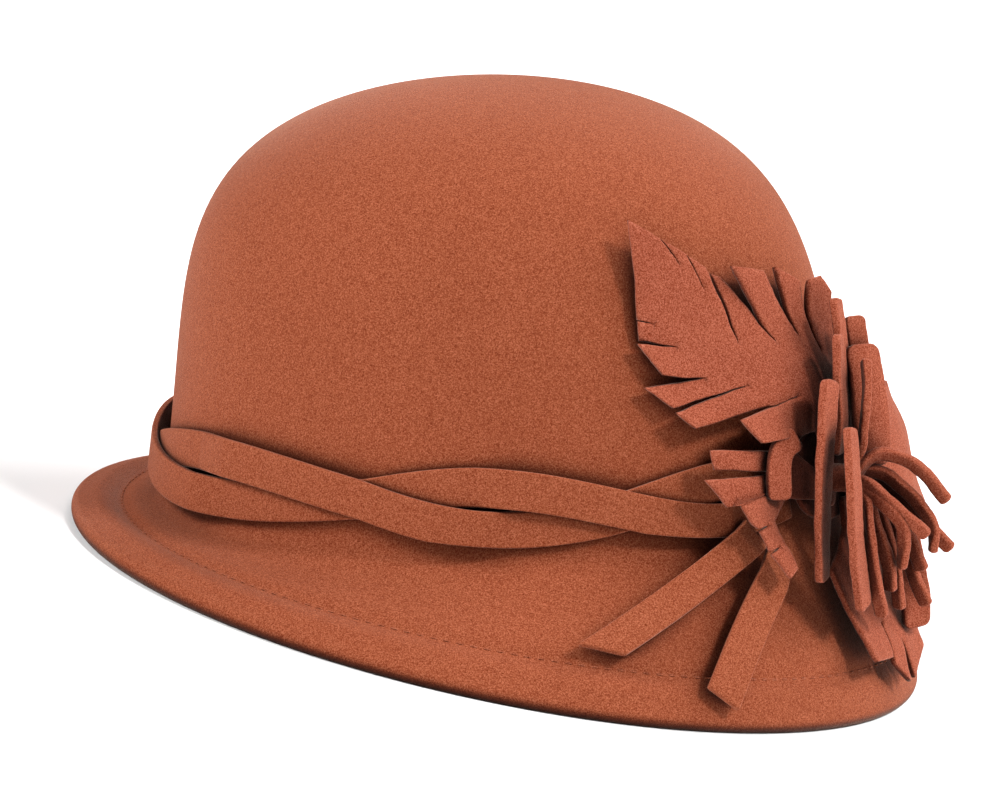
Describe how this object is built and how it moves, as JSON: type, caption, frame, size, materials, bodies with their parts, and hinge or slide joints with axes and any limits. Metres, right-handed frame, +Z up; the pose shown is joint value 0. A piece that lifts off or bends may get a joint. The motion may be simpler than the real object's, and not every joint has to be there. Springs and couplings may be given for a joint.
{
  "type": "felt cloche hat",
  "caption": "Rounded felt hat with a short down-turned brim, a twisted felt band with two tails, and a fringed felt flower with leaves on one side.",
  "frame": {"origin": "middle of the flat ring that the hem of the brim rests on, in the plane of that ring", "axes": "+Z up through the crown, -X towards the front of the hat over the wearer's face, -Y the side that the flower leans towards"},
  "size_m": [0.2524, 0.238, 0.1517],
  "materials": {
    "felt_body": "rust-brown wool felt, fine short nap, matte with a soft sheen at grazing angles",
    "felt_band": "rust-brown wool felt strips with cut edges, matte",
    "felt_flower": "slightly pinker rust wool felt with cut edges, matte",
    "ribbon": "dark brown grosgrain ribbon with fine cross ribs",
    "thread": "rust sewing thread",
    "wire": "plain drawn steel wire"
  },
  "bodies": {
    "root": {"felt_body": "felt_body", "brim_wire": "wire", "hem_thread": "thread", "sweatband": "ribbon", "band_strip_a": "felt_band", "band_strip_b": "felt_band", "flower_backing": "felt_flower", "flower_fringe": "felt_flower", "leaf_upper": "felt_flower", "leaf_left": "felt_flower", "leaf_right": "felt_flower", "leaf_lower": "felt_flower", "petal_01": "felt_flower", "petal_02": "felt_flower", "petal_03": "felt_flower", "petal_04": "felt_flower", "petal_05": "felt_flower", "petal_06": "felt_flower", "petal_07": "felt_flower", "petal_08": "felt_flower"},
    "tail_long": {"tail_long": "felt_band"},
    "tail_short": {"tail_short": "felt_band"}
  },
  "joints": [
    {"name": "tail_long_lift", "type": "hinge", "parent": "root", "child": "tail_long", "pos_m": [0.06442, -0.07276, 0.04714], "axis": [-0.7745, -0.1091, 0.6231], "range_deg": [0, 40]},
    {"name": "tail_short_lift", "type": "hinge", "parent": "root", "child": "tail_short", "pos_m": [0.07388, -0.07319, 0.03853], "axis": [-0.8354, -0.0692, 0.5452], "range_deg": [0, 40]}
  ]
}
